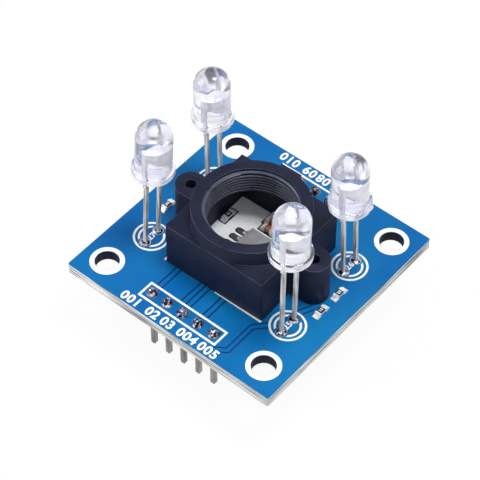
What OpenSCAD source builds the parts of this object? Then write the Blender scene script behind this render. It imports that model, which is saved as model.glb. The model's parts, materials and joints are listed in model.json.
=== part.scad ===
// Color sensor module. A square board stands on two pin headers. In its middle a threaded
// lens holder stands over the light sensor, and four clear LEDs on long legs stand round it.
// Millimetres, +Z up. The origin is the middle of the board's underside.

/* [Board] */
// Side of the square board
board_w = 33.3; // [32:0.1:40]
// Thickness of the board
board_t = 1.6; // [1:0.1:2]
// Radius of the board's corners
board_corner_r = 0.3; // [0.1:0.1:1.5]
// Distance from a mounting hole's middle to the board's two nearest edges
mount_inset = 3.6; // [2.6:0.1:4.4]
// Diameter of a mounting hole
mount_hole_d = 3.2; // [2:0.1:3.4]

/* [Pin headers] */
// Pins in one header
pin_count = 5; // [3:1:6]
// Distance from one pin to the next
pin_pitch = 2.54; // [2:0.01:3]
// Side of a square pin
pin_w = 0.64; // [0.4:0.02:0.8]
// Distance from a row of pins to the board's edge
row_inset = 3.35; // [2.2:0.05:3.8]
// Width and height of the plastic strip
strip_w = 2.5; // [2:0.1:3]
// Length of a pin below the strip
pin_below = 6.1; // [4:0.1:9]
// Length of a pin above the board
pin_above = 0.9; // [0.6:0.1:2]
// Diameter of a plated pin hole in the board
pin_hole_d = 1.1; // [1.1:0.05:1.3]

/* [Lens holder] */
// Distance from the board's middle to the holder's axis along X
holder_x = 0.45; // [-0.5:0.05:0.6]
// Distance from the board's middle to the holder's axis along Y
holder_y = -0.25; // [-0.5:0.05:0.5]
// Degrees that the holder stands turned within the play of its screws
holder_turn = 1.2; // [-1.5:0.1:1.5]
// Height of the square skirt
skirt_h = 7.1; // [6.5:0.1:8]
// Thickness of the skirt's walls
skirt_wall = 0.7; // [0.5:0.1:1]
// Radius of the skirt's upright corners
skirt_corner_r = 0.2; // [0.1:0.1:1]
// Height of the round collar above the skirt
collar_h = 2.4; // [1.6:0.1:4]
// Thickness of the collar's wall outside the thread
collar_wall = 1.77; // [1.4:0.01:2]
// How far the collar ends inside the skirt's faces
collar_inset = 0.03; // [0.01:0.01:0.3]
// Thickness of the skirt's roof, where the thread starts
roof_t = 1.6; // [1:0.1:2.5]
// Major diameter of the lens thread
thread_d = 12; // [11:0.1:12.5]
// Diameter of the plain mouth above the thread
mouth_d = 12.6; // [12.6:0.1:13.4]
// Depth of the plain mouth
mouth_h = 0.4; // [0.2:0.1:1]
// Distance from the skirt's face to an ear's hole
ear_out = 2.2; // [1.8:0.1:2.6]
// Radius of an ear
ear_r = 2.1; // [1.6:0.1:2.2]
// Height of an ear
ear_h = 6.6; // [4:0.1:6.9]
// Diameter of an ear's screw hole
ear_hole_d = 1.5; // [1.2:0.1:2]
// Width of the boss for the lens lock screw
boss_w = 3.2; // [2.4:0.1:4]
// How far the lock screw boss stands out of the collar
boss_out = 0.4; // [0.2:0.1:1.2]
// Diameter of the lock screw hole
lock_hole_d = 1.3; // [0.8:0.1:1.6]
// Height of the lock screw hole above the skirt's top
lock_hole_up = 0.35; // [0.2:0.05:0.8]

/* [Holder screws] */
// Length of a holder screw under its head
screw_len = 4.8; // [3:0.1:6]
// Diameter of a holder screw's head
screw_head_d = 3; // [2.4:0.1:3.6]
// Height of a holder screw's head
screw_head_h = 1; // [0.6:0.1:1.4]
// Play of a holder screw in the board's hole, across the hole
screw_play = 0.5; // [0.3:0.1:1]

/* [LEDs] */
// Distance from the board's middle to an LED along X
led_x = 11.4; // [11.2:0.05:13]
// Distance from the board's middle to an LED along Y
led_y = 6.3; // [5.5:0.1:7]
// Usual height of an LED's flange above the board
led_stand = 13; // [9:0.5:16]
// Diameter of an LED's round body
led_d = 4.8; // [4.6:0.1:5.2]
// Height of an LED's body with its dome
led_h = 8.5; // [7.6:0.1:9.6]
// Diameter of an LED's flange
flange_d = 5.6; // [5.4:0.1:6.2]
// Height of an LED's flange
flange_h = 1; // [0.6:0.1:1.2]
// Height of the reflector cup's rim above the flange's underside
cup_h = 4.4; // [3.6:0.1:5]
// Distance between the two legs of an LED
leg_pitch = 2.54; // [2.4:0.02:2.7]
// Side of a square LED leg
leg_w = 0.46; // [0.4:0.02:0.6]
// Length of a leg below the board
leg_below = 1.1; // [1:0.1:2]
// Diameter of a plated leg hole in the board
leg_hole_d = 0.9; // [0.9:0.05:1.2]

/* [Sensor] */
// Distance from the board's middle to the sensor's middle along X
sensor_x = 0.4; // [-0.5:0.1:0.6]
// Distance from the board's middle to the sensor's middle along Y
sensor_y = -0.1; // [-0.5:0.1:0.5]
// Length of the sensor's clear body along Y
sensor_l = 4.9; // [4.6:0.1:5.1]
// Width of the sensor's clear body along X
sensor_w = 3.9; // [3.6:0.1:4.1]
// Height of the sensor's clear body
sensor_h = 1.4; // [1.2:0.1:1.6]
// Distance over the sensor's leads along X
sensor_span = 6; // [5.6:0.1:6.4]
// Distance from one sensor lead to the next
lead_pitch = 1.27; // [1.2:0.01:1.3]
// Width of a sensor lead
lead_w = 0.42; // [0.3:0.02:0.5]
// Thickness of a sensor lead
lead_t = 0.2; // [0.15:0.01:0.25]

/* [Chip parts] */
// Length of a small chip part
chip_l = 1.6; // [1.4:0.1:1.8]
// Width of a small chip part
chip_w = 0.8; // [0.6:0.05:0.85]
// Height of a chip resistor
resistor_h = 0.45; // [0.35:0.05:0.6]
// Height of the small chip capacitor
small_cap_h = 0.8; // [0.5:0.05:0.9]
// Length of the large chip capacitor
large_cap_l = 3.2; // [2.8:0.1:3.6]
// Width of the large chip capacitor
large_cap_w = 1.6; // [1.2:0.1:1.7]
// Height of the large chip capacitor
large_cap_h = 1; // [0.8:0.1:1.2]

/* [Surface layers] */
// Thickness of the tinned lands
pad_t = 0.05; // [0.03:0.01:0.1]
// Width of a tinned land round a plated hole
pad_ring = 0.3; // [0.25:0.05:0.4]
// Thickness of the white print
print_t = 0.03; // [0.02:0.01:0.05]
// Width of a thin printed line
line_w = 0.3; // [0.15:0.05:0.35]
// Width of the printed ring round a mounting hole
mount_ring = 0.7; // [0.4:0.05:0.9]
// Outer diameter of the two printed rings round an LED
led_ring_d = 4.9; // [4.4:0.1:5.4]
// Width of a printed ring round an LED
led_ring_w = 0.3; // [0.2:0.05:0.4]

/* [Hidden] */
$fn = 64;
cut = 1; // how far a cutting solid runs past the face that it opens
LED_NAMES = ["front", "right", "left", "back"];
// Side of the board that each LED stands on, along X and Y
LED_SIDES = [[1, -1], [1, 1], [-1, -1], [-1, 1]];
// How much higher or lower than usual each LED stands
LED_RISES = [0.9, -0.9, -0.2, -0.9];
// How far each LED leans on its legs, in degrees about X and about Y
LED_LEANS = [[-0.26, 0.3], [1.3, -1.5], [-1.6, 2], [0.3, -0.4]];
chip_end = 0.35; // length of a small chip part's metal end
large_end = 0.5; // length of the large capacitor's metal end
land_out = 0.5; // how far a land reaches past a chip part's end
land_side = 0.1; // how far a land reaches past a chip part's side
mount_x = board_w / 2 - mount_inset;
row_y = board_w / 2 - row_inset;
row_len = pin_count * pin_pitch;
board_top = board_t;
land_top = board_top + pad_t;
pin_low = -strip_w - pin_below;
pin_high = board_top + pin_above;
pin_tip = pin_w / 4; // height of a pin's pointed end
collar_r = thread_d / 2 + collar_wall;
skirt_w = 2 * (collar_r + collar_inset);
skirt_in = skirt_w - 2 * skirt_wall;
ear_x = skirt_w / 2 + ear_out;
right_ear_gap = 0.3; // clearance of the two chip parts beside the right ear
left_ear_gap = 1.2; // clearance of the chip part beside the left ear
right_chip_x = holder_x + ear_x + ear_r + right_ear_gap + chip_w / 2;
left_chip_x = holder_x - ear_x - ear_r - left_ear_gap - chip_w / 2;
// Middle and direction of each small chip part outside the holder: x, y, degrees about Z
RESISTORS = [[right_chip_x, -1.95, 90], [right_chip_x, 1.75, 90], [left_chip_x, -1.05, 90]];
boss_root = 0.4; // where the boss starts inside the collar's wall, from the thread
boss_drop = 0.2; // how far the boss ends below the collar's top
boss_below = 1.3; // how far the boss reaches down below the skirt's top
collar_top = skirt_h + collar_h;
thread_low = skirt_h - roof_t;
ledge_h = 0.15; // height of the cone from the mouth down to the thread
lock_hole_z = skirt_h + lock_hole_up;
led_r = led_d / 2;
leg_y = leg_pitch / 2;
flat_out = 0.05; // how far the flange's flat stands outside the round wall
dome_h = led_h - led_r; // height of the dome's middle above the flange's underside
nub_out = 0.2; // how far a wing left on a leg reaches past the leg
nub_h = 0.35;
nub_drop = 1.9; // distance from the flange down to the wings
cup_r = 0.78;
cup_depth = 0.45;
cup_over = 0.01; // how far the cone that hollows the cup runs past its rim
cup_floor_r = 0.4 * cup_r;
cup_rim_r = 0.9 * cup_r;
post_gap = 0.15; // distance from the cup to the post of the bond wire
post_over = 0.2; // how far that post rises over the cup's rim
post_head = 1; // height of the post's upper, wider part
post_foot = 1.6; // height at which the post starts to lean in
plate_foot = 1.2; // height at which the cup's plate starts to lean in
plate_lap = 0.2; // how far the plate reaches under the cup
die_w = 0.35; // side of the light chip in the cup
die_t = 0.15;
sensor_gap = 0.12; // air under the sensor's body
sensor_z = land_top + sensor_gap;
lead_z = sensor_z + sensor_h / 2; // height at which the leads leave the body
lead_rows = 4;
lead_foot = 0.65; // length of a lead's flat foot
lead_in = 0.5; // how far a lead reaches into the body
lead_land_out = 1.1; // how far a lead's land reaches past the foot at its outer end
lead_land_in = 0.15; // how far it reaches past the foot at its inner end
lead_land_side = 0.12; // how far it reaches past the lead's side
lead_slope = 0.35; // distance from the body to a lead's bend
sensor_draft = 0.1; // how far the body leans in at its top and at its foot
paddle_l = 2.4; // plate inside the sensor that carries the chip
paddle_w = 1.7;
sensor_chip_l = 1.5;
sensor_chip_w = 1.2;
sensor_chip_t = 0.25;
cap_wall_gap = 0.35; // clearance of the large capacitor from the holder's far wall
cap_gap = 0.4; // clearance between the two capacitors
well_wall_gap = 0.25; // clearance of the resistor in the well from the holder's left wall
large_cap_y = holder_y + skirt_in / 2 - cap_wall_gap - large_cap_w / 2;
small_cap_y = large_cap_y - large_cap_w / 2 - cap_gap - chip_w / 2;
well_resistor_x = holder_x - skirt_in / 2 + well_wall_gap + chip_w / 2;
LARGE_CAP = [0.2, large_cap_y, 0];
SMALL_CAP = [-0.3, small_cap_y, 0];
WELL_RESISTOR = [well_resistor_x, 2.8, 90];
fillet_short = 0.05; // how far a solder fillet ends short of its land
field_gap = 0.05; // distance from the white field to the holder's walls
window_gap = 0.15; // white left out round the lands
print_gap = 0.05; // white left out round a mounting hole
leg_print_gap = 0.2; // white left out round the tinned ring of a leg
outline_w = 16.1; // side of the printed outline that the holder half covers
outline_start = 0.9; // where the outline's visible near stretch starts
corner_l = 0.5; // length of the outline's short piece at its left corner
frame_gap = 0.1; // distance from the plastic strip's edge out to the printed frame's
strip_bevel = 0.35; // how far the strip's edges are cut back between the pins
screw_slot_w = 0.35;
screw_play_r = 0.03; // clearance of a screw's shank in an ear
joint_foot = 0.2; // how far a joint spreads past its hole at the foot
joint_tip = 0.1; // how much narrower than its hole a joint ends
leg_joint_top = 0.25; // height of a leg's joint above the board
leg_joint_low = 0.7; // height of a leg's joint under the board

// A rectangle with round corners, centred
module rounded_rect(w, d, r) {
    square([w - 2 * r, d], center = true);
    square([w, d - 2 * r], center = true);
    for (x = [-1, 1], y = [-1, 1])
        translate([x * (w / 2 - r), y * (d / 2 - r)]) circle(r);
}

// A flat ring
module ring(outer_r, inner_r) {
    difference() {
        circle(outer_r);
        circle(inner_r);
    }
}

// The outline of a rectangle, drawn as a line
module frame_line(w, d, line) {
    difference() {
        square([w, d], center = true);
        square([w - 2 * line, d - 2 * line], center = true);
    }
}

// A block whose section along X and along Y is the same kind of profile
module two_way_block(w, d, profile_x, profile_y) {
    intersection() {
        rotate([90, 0, 0]) linear_extrude(d, center = true) polygon(profile_x);
        rotate([90, 0, 90]) linear_extrude(w, center = true) polygon(profile_y);
    }
}

// Places its children at every mounting hole
module at_mounts() {
    for (x = [-1, 1], y = [-1, 1])
        translate([x * mount_x, y * mount_x]) children();
}

function pin_x(i) = (i - (pin_count + 1) / 2) * pin_pitch;

// Places its children at every pin of the near row (side -1) or the far row (side 1)
module at_pins(side) {
    for (i = [1 : pin_count])
        translate([pin_x(i), side * row_y]) children();
}

// Places its children where an LED's two legs pass the board
module at_legs(k) {
    for (s = [-1, 1])
        translate([LED_SIDES[k].x * led_x, LED_SIDES[k].y * led_y + s * leg_y]) children();
}

// Places its children in the holder's own frame, turned as the holder is
module at_holder() {
    translate([holder_x, holder_y]) rotate([0, 0, holder_turn]) children();
}

module at_sensor() {
    translate([sensor_x, sensor_y]) children();
}

module at_chip(place) {
    translate([place.x, place.y]) rotate([0, 0, place.z]) children();
}

// The board, drilled for everything that passes it
module circuit_board() {
    color([0.09, 0.42, 0.75]) difference() {
        linear_extrude(board_t) rounded_rect(board_w, board_w, board_corner_r);
        translate([0, 0, -cut]) linear_extrude(board_t + 2 * cut) {
            at_mounts() circle(d = mount_hole_d);
            for (s = [-1, 1])
                translate([holder_x + s * ear_x, holder_y]) circle(d = ear_hole_d + screw_play);
            for (side = [-1, 1]) at_pins(side) circle(d = pin_hole_d);
            for (k = [0 : 3]) at_legs(k) circle(d = leg_hole_d);
        }
    }
}

// The two printed rings of one LED, open where its lands are
module led_print(k) {
    outer_r = led_ring_d / 2;
    inner_r = outer_r - 2.2 * led_ring_w;
    difference() {
        translate([LED_SIDES[k].x * led_x, LED_SIDES[k].y * led_y])
            for (r = [outer_r, inner_r]) ring(r, r - led_ring_w);
        at_legs(k) circle(leg_hole_d / 2 + pad_ring + leg_print_gap);
    }
}

// Window in the white field for a chip part and its lands
module chip_window(place, l, w) {
    window = [l + 2 * (land_out + window_gap), w + 2 * (land_side + window_gap)];
    at_chip(place) square(window, center = true);
}

// The white field under the holder, with windows for what is soldered there
module well_print() {
    field_w = skirt_in - 2 * field_gap;
    difference() {
        at_holder() rounded_rect(field_w, field_w, skirt_corner_r);
        chip_window(WELL_RESISTOR, chip_l, chip_w);
        chip_window(SMALL_CAP, chip_l, chip_w);
        chip_window(LARGE_CAP, large_cap_l, large_cap_w);
        for (s = [-1, 1], r = [1 : lead_rows])
            at_lead(s, r) lead_land(window_gap);
    }
}

// The round-ended land of one sensor lead, or the same shape grown by a gap all round
module lead_land(gap) {
    low = sensor_span / 2 - lead_foot - lead_land_in - gap;
    high = sensor_span / 2 + lead_land_out + gap;
    w = lead_w + 2 * (lead_land_side + gap);
    translate([(low + high) / 2, 0]) rounded_rect(high - low, w, 0.45 * w);
}

// What the outline of the holder on the board shows beside the holder: its near line from
// the middle to the right corner, and a short piece at its left corner
module outline_print() {
    at_sensor() {
        translate([outline_start - sensor_x, -outline_w / 2])
            square([outline_w / 2 - outline_start + sensor_x, line_w]);
        translate([-outline_w / 2, -outline_w / 2]) square([line_w, corner_l]);
    }
}

// The holder's foot, outside
module holder_foot() {
    rounded_rect(skirt_w, skirt_w, skirt_corner_r);
    ear_outline();
    mirror([1, 0]) ear_outline();
}

// Everything printed white on the top face
module white_print() {
    color([0.97, 0.97, 0.97]) translate([0, 0, board_top]) linear_extrude(print_t) {
        at_mounts() ring(mount_hole_d / 2 + mount_ring, mount_hole_d / 2 + print_gap);
        for (side = [-1, 1])
            translate([0, side * row_y])
                frame_line(row_len + frame_gap, strip_w + 2 * frame_gap, line_w);
        difference() {
            union() {
                for (k = [0 : 3]) led_print(k);
                outline_print();
            }
            at_holder() holder_foot();
        }
        well_print();
    }
}

// The two lands under a chip part
module chip_lands(place, l, w, end) {
    land_l = end + land_out;
    at_chip(place) for (s = [-1, 1])
        translate([s * (l / 2 + land_out - land_l / 2), 0])
            square([land_l, w + 2 * land_side], center = true);
}

// Tinned copper: rings at the plated holes, and lands under the chip parts and the sensor
module tinned_pads() {
    color([0.8, 0.8, 0.78]) {
        translate([0, 0, board_top]) linear_extrude(pad_t) {
            for (side = [-1, 1])
                at_pins(side) ring(pin_hole_d / 2 + pad_ring, pin_hole_d / 2);
            for (k = [0 : 3]) at_legs(k) ring(leg_hole_d / 2 + pad_ring, leg_hole_d / 2);
            for (place = RESISTORS) chip_lands(place, chip_l, chip_w, chip_end);
            chip_lands(WELL_RESISTOR, chip_l, chip_w, chip_end);
            chip_lands(SMALL_CAP, chip_l, chip_w, chip_end);
            chip_lands(LARGE_CAP, large_cap_l, large_cap_w, large_end);
            for (s = [-1, 1], r = [1 : lead_rows]) at_lead(s, r) lead_land(0);
        }
        translate([0, 0, -pad_t]) linear_extrude(pad_t)
            for (k = [0 : 3]) at_legs(k) ring(leg_hole_d / 2 + pad_ring, leg_hole_d / 2);
    }
}

// Bore of the lens holder, turned: thread, ledge and plain mouth
module lens_bore() {
    mouth_low = collar_top - mouth_h;
    rotate_extrude() polygon([
        [0, thread_low - cut],
        [thread_d / 2, thread_low - cut],
        [thread_d / 2, mouth_low - ledge_h],
        [mouth_d / 2, mouth_low],
        [mouth_d / 2, collar_top + cut],
        [0, collar_top + cut]
    ]);
}

// One ear: a round post with a straight web to the skirt
module ear_outline() {
    web_l = ear_out + skirt_wall;
    translate([ear_x, 0]) circle(ear_r);
    translate([ear_x - web_l, -ear_r]) square([web_l, 2 * ear_r]);
}

// Boss at the back of the collar for the screw that locks the lens
module lock_boss() {
    boss_low = skirt_h - boss_below;
    boss_high = collar_top - boss_drop;
    boss_y = thread_d / 2 + boss_root;
    translate([-boss_w / 2, boss_y, boss_low])
        cube([boss_w, collar_r + boss_out - boss_y, boss_high - boss_low]);
}

// The moulded lens holder: skirt, roof, threaded collar, ears and lock screw boss in one piece
module lens_holder() {
    color([0.13, 0.14, 0.2]) at_holder() translate([0, 0, board_top]) difference() {
        union() {
            linear_extrude(skirt_h) rounded_rect(skirt_w, skirt_w, skirt_corner_r);
            translate([0, 0, skirt_h - roof_t / 2])
                cylinder(r = collar_r, h = collar_h + roof_t / 2);
            linear_extrude(ear_h) holder_foot();
            lock_boss();
        }
        translate([0, 0, -cut]) linear_extrude(thread_low + cut)
            rounded_rect(skirt_in, skirt_in, skirt_corner_r);
        lens_bore();
        for (s = [-1, 1])
            translate([s * ear_x, 0, -cut]) cylinder(d = ear_hole_d, h = ear_h + 2 * cut);
        translate([0, 0, lock_hole_z]) rotate([-90, 0, 0]) cylinder(d = lock_hole_d, h = skirt_w);
    }
}

// A pan head screw, driven up through the board into an ear
module holder_screw(side) {
    shank_r = ear_hole_d / 2 - screw_play_r;
    slot_l = 0.6 * screw_head_d;
    color([0.7, 0.7, 0.72]) at_holder() translate([side * ear_x, 0, 0]) difference() {
        union() {
            translate([0, 0, -screw_head_h]) cylinder(d = screw_head_d, h = screw_head_h);
            cylinder(r = shank_r, h = screw_len - shank_r);
            translate([0, 0, screw_len - shank_r])
                cylinder(r1 = shank_r, r2 = shank_r / 4, h = shank_r);
        }
        translate([0, 0, -screw_head_h]) {
            cube([slot_l, screw_slot_w, screw_head_h], center = true);
            cube([screw_slot_w, slot_l, screw_head_h], center = true);
        }
    }
}

// One cell of the plastic strip, with its four upright edges cut back
module strip_cell() {
    h = strip_w / 2;
    p = pin_pitch / 2;
    c = strip_bevel;
    polygon([
        [-p, -h + c], [c - p, -h], [p - c, -h], [p, -h + c],
        [p, h - c], [p - c, h], [c - p, h], [-p, h - c]
    ]);
}

// The black strip that holds one row of pins under the board
module header_strip(side) {
    color([0.1, 0.1, 0.11]) translate([0, 0, -strip_w]) linear_extrude(strip_w) difference() {
        at_pins(side) strip_cell();
        at_pins(side) square(pin_w, center = true);
    }
}

// A square column with a pointed end at top and bottom
module pin_solid() {
    h = pin_w / 2;
    side = [
        [-h / 2, pin_low], [h / 2, pin_low], [h, pin_low + pin_tip], [h, pin_high - pin_tip],
        [h / 2, pin_high], [-h / 2, pin_high], [-h, pin_high - pin_tip], [-h, pin_low + pin_tip]
    ];
    two_way_block(pin_w, pin_w, side, side);
}

// Pins are numbered along +X, first in the near row and then in the far row
module header_pin(n) {
    side = n <= pin_count ? -1 : 1;
    i = n <= pin_count ? n : n - pin_count;
    color([0.62, 0.6, 0.58]) translate([pin_x(i), side * row_y, 0]) pin_solid();
}

// A turned solder joint: it fills a plated hole and rises or hangs as a cone at its ends
module solder_joint(hole_d, top_h, low_h) {
    foot_r = hole_d / 2 + joint_foot;
    tip_r = hole_d / 2 - joint_tip;
    low_z = low_h > 0 ? -pad_t : 0;
    translate([0, 0, low_z]) cylinder(d = hole_d, h = land_top - low_z);
    translate([0, 0, land_top]) cylinder(r1 = foot_r, r2 = tip_r, h = top_h);
    if (low_h > 0)
        translate([0, 0, -pad_t - low_h]) cylinder(r1 = tip_r, r2 = foot_r, h = low_h);
}

// The five joints on top of one row of pins
module header_solder(side) {
    color([0.75, 0.75, 0.76]) difference() {
        at_pins(side) solder_joint(pin_hole_d, 0.7 * pin_above, 0);
        at_pins(side) pin_solid();
    }
}

// Stands an LED's own frame on the board, leaning about the middle of the board's thickness
module lean_led(k) {
    translate([LED_SIDES[k].x * led_x, LED_SIDES[k].y * led_y, board_t / 2])
        rotate([LED_LEANS[k].x, LED_LEANS[k].y, 0])
            translate([0, 0, -board_t / 2]) children();
}

// Height of an LED's flange underside
function flange_z(k) = board_top + led_stand + LED_RISES[k];

// Places its children at the middle of an LED's flange underside, in its leaning frame
module at_flange(k) {
    lean_led(k) translate([0, 0, flange_z(k)]) children();
}

// A leg with the small wings left where it was cut from its strip; s is its side along Y
module led_leg(k, s) {
    nub_w = leg_w + 2 * nub_out;
    translate([-leg_w / 2, s * leg_y - leg_w / 2, -leg_below])
        cube([leg_w, leg_w, flange_z(k) + cut / 2 + leg_below]);
    translate([-leg_w / 2, s * leg_y - nub_w / 2, flange_z(k) - nub_drop])
        cube([leg_w, nub_w, nub_h]);
}

// The thin post inside the body that the bond wire runs to
module anode_post() {
    y = leg_y - leg_w / 2;
    post_y = cup_r + post_gap;
    post_top = cup_h + post_over;
    rotate([90, 0, -90]) linear_extrude(leg_w, center = true) polygon([
        [y, 0], [y + leg_w, 0], [y + leg_w, post_top],
        [post_y, post_top], [post_y, post_top - post_head], [y, post_foot]
    ]);
}

// The wide plate inside the body that carries the cup
module cathode_plate() {
    y = -leg_y - leg_w / 2;
    plate_y = cup_r - plate_lap;
    plate_top = cup_h - cup_depth;
    rotate([90, 0, -90]) linear_extrude(leg_w, center = true) polygon([
        [y, 0], [y + leg_w, 0], [y + leg_w, plate_foot],
        [plate_y, plate_top - 2 * cup_depth], [plate_y, plate_top], [y, plate_top]
    ]);
}

module led_anode_solid(k) {
    led_leg(k, -1);
    translate([0, 0, flange_z(k)]) anode_post();
}

module led_cathode_solid(k) {
    led_leg(k, 1);
    translate([0, 0, flange_z(k)]) difference() {
        union() {
            cathode_plate();
            translate([0, 0, cup_h - 2 * cup_depth]) cylinder(r = cup_r, h = 2 * cup_depth);
        }
        translate([0, 0, cup_h - cup_depth])
            cylinder(r1 = cup_floor_r, r2 = cup_rim_r, h = cup_depth + cup_over);
    }
}

module led_chip_solid() {
    translate([0, 0, cup_h - cup_depth + die_t / 2]) cube([die_w, die_w, die_t], center = true);
}

// The clear body: flange with its flat, round wall and dome, cast round the metal
module led_body(k) {
    color([0.9, 0.92, 1, 0.5]) difference() {
        at_flange(k) {
            difference() {
                cylinder(d = flange_d, h = flange_h);
                translate([-flange_d / 2, led_r + flat_out, -cut])
                    cube([flange_d, flange_d / 2, flange_h + 2 * cut]);
            }
            cylinder(r = led_r, h = dome_h);
            translate([0, 0, dome_h]) sphere(led_r);
        }
        lean_led(k) {
            led_anode_solid(k);
            led_cathode_solid(k);
        }
        at_flange(k) led_chip_solid();
    }
}

module led_anode(k) {
    color([0.75, 0.75, 0.73]) lean_led(k) led_anode_solid(k);
}

module led_cathode(k) {
    color([0.75, 0.75, 0.73]) lean_led(k) led_cathode_solid(k);
}

module led_chip(k) {
    color([0.95, 0.9, 0.5]) at_flange(k) led_chip_solid();
}

// The joints of one LED's two legs, upright and fitted round the leaning legs
module led_solder(k) {
    color([0.75, 0.75, 0.76]) difference() {
        at_legs(k) solder_joint(leg_hole_d, leg_joint_top, leg_joint_low);
        lean_led(k) for (s = [-1, 1]) led_leg(k, s);
    }
}

// Places its children at a lead of the sensor: side along X, row along Y
module at_lead(side, row) {
    at_sensor() translate([0, (row - (lead_rows + 1) / 2) * lead_pitch])
        mirror([side < 0 ? 1 : 0, 0]) children();
}

// One bent lead, from its foot up into the body
module sensor_lead() {
    span = sensor_span / 2;
    bend = sensor_w / 2 + lead_slope;
    rotate([90, 0, 0]) linear_extrude(lead_w, center = true) polygon([
        [span, land_top], [span, land_top + lead_t], [bend + lead_t, land_top + lead_t],
        [bend, lead_z + lead_t], [sensor_w / 2 - lead_in, lead_z + lead_t],
        [sensor_w / 2 - lead_in, lead_z], [bend - lead_t, lead_z], [span - lead_foot, land_top]
    ]);
}

module sensor_leads_solid() {
    for (s = [-1, 1], r = [1 : lead_rows]) at_lead(s, r) sensor_lead();
    at_sensor() translate([0, 0, lead_z + lead_t / 2])
        cube([paddle_w, paddle_l, lead_t], center = true);
}

module sensor_chip_solid() {
    at_sensor() translate([0, 0, lead_z + lead_t + sensor_chip_t / 2])
        cube([sensor_chip_w, sensor_chip_l, sensor_chip_t], center = true);
}

// A section that leans in above and below the middle of the sensor's height
function drafted(w) = let (in = w / 2 - sensor_draft, top = sensor_z + sensor_h) [
    [-in, sensor_z], [in, sensor_z], [w / 2, lead_z], [in, top], [-in, top], [-w / 2, lead_z]
];

// The clear body of the sensor, cast round its leads and chip
module sensor_package() {
    color([0.75, 0.78, 0.78]) difference() {
        at_sensor() two_way_block(sensor_w, sensor_l, drafted(sensor_w), drafted(sensor_l));
        sensor_leads_solid();
        sensor_chip_solid();
    }
}

module sensor_leads() {
    color([0.78, 0.78, 0.76]) sensor_leads_solid();
}

module sensor_chip() {
    color([0.15, 0.14, 0.16]) sensor_chip_solid();
}

// The ceramic of a chip part, between its metal ends
module chip_body(place, l, w, h, end) {
    at_chip(place) translate([0, 0, land_top + h / 2])
        cube([l - 2 * end, w, h], center = true);
}

// The two metal ends of a chip part
module chip_ends(place, l, w, h, end) {
    color([0.82, 0.82, 0.82]) at_chip(place) for (s = [-1, 1])
        translate([s * (l - end) / 2, 0, land_top + h / 2]) cube([end, w, h], center = true);
}

// The two solder fillets that climb a chip part's ends
module chip_fillets(place, l, w, h) {
    at_chip(place) for (s = [0, 1]) mirror([s, 0]) rotate([90, 0, 0])
        linear_extrude(w, center = true) polygon([
            [l / 2, land_top], [l / 2 + land_out - fillet_short, land_top],
            [l / 2 + 0.4 * land_out, land_top + 0.25 * h], [l / 2, land_top + 0.75 * h]
        ]);
}

module resistor_body(n) {
    color([0.12, 0.12, 0.13])
        chip_body(n < 4 ? RESISTORS[n - 1] : WELL_RESISTOR, chip_l, chip_w, resistor_h, chip_end);
}

module resistor_ends(n) {
    chip_ends(n < 4 ? RESISTORS[n - 1] : WELL_RESISTOR, chip_l, chip_w, resistor_h, chip_end);
}

module capacitor_body(size) {
    color([0.65, 0.45, 0.31]) if (size == "small")
        chip_body(SMALL_CAP, chip_l, chip_w, small_cap_h, chip_end);
    else
        chip_body(LARGE_CAP, large_cap_l, large_cap_w, large_cap_h, large_end);
}

module capacitor_ends(size) {
    if (size == "small")
        chip_ends(SMALL_CAP, chip_l, chip_w, small_cap_h, chip_end);
    else
        chip_ends(LARGE_CAP, large_cap_l, large_cap_w, large_cap_h, large_end);
}

// Solder at the ends of every chip part
module chip_solder() {
    color([0.85, 0.85, 0.85]) {
        for (place = RESISTORS) chip_fillets(place, chip_l, chip_w, resistor_h);
        chip_fillets(WELL_RESISTOR, chip_l, chip_w, resistor_h);
        chip_fillets(SMALL_CAP, chip_l, chip_w, small_cap_h);
        chip_fillets(LARGE_CAP, large_cap_l, large_cap_w, large_cap_h);
    }
}

circuit_board();
white_print();
tinned_pads();
lens_holder();
holder_screw(-1);  // holder_screw_left
holder_screw(1);  // holder_screw_right
header_strip(-1);  // header_strip_near
header_strip(1);  // header_strip_far
header_solder(-1);  // header_solder_near
header_solder(1);  // header_solder_far
for (i = [1 : 2 * pin_count])
    header_pin(i);
for (k = [0 : 3]) {
    led_body(k);
    led_anode(k);
    led_cathode(k);
    led_chip(k);
    led_solder(k);
}
sensor_package();
sensor_leads();
sensor_chip();
for (n = [1 : 4]) {
    resistor_body(n);
    resistor_ends(n);
}
for (s = ["small", "large"]) {
    capacitor_body(s);
    capacitor_ends(s);
}
chip_solder();
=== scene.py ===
# %% [markdown]
# Color sensor module: looks. The CAD model is packed already and comes in as a fixed frame in
# metres. Its solids could be shown as they are, but soft edges, a fine thread and printed numbers
# are lighter to make here. So each step below says which solids keep their CAD form, and which get
# a finer mesh that stands for them.

# %% Frame
import json
import math
import bmesh
import bpy
from mathutils import Matrix, Quaternion, Vector


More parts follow.
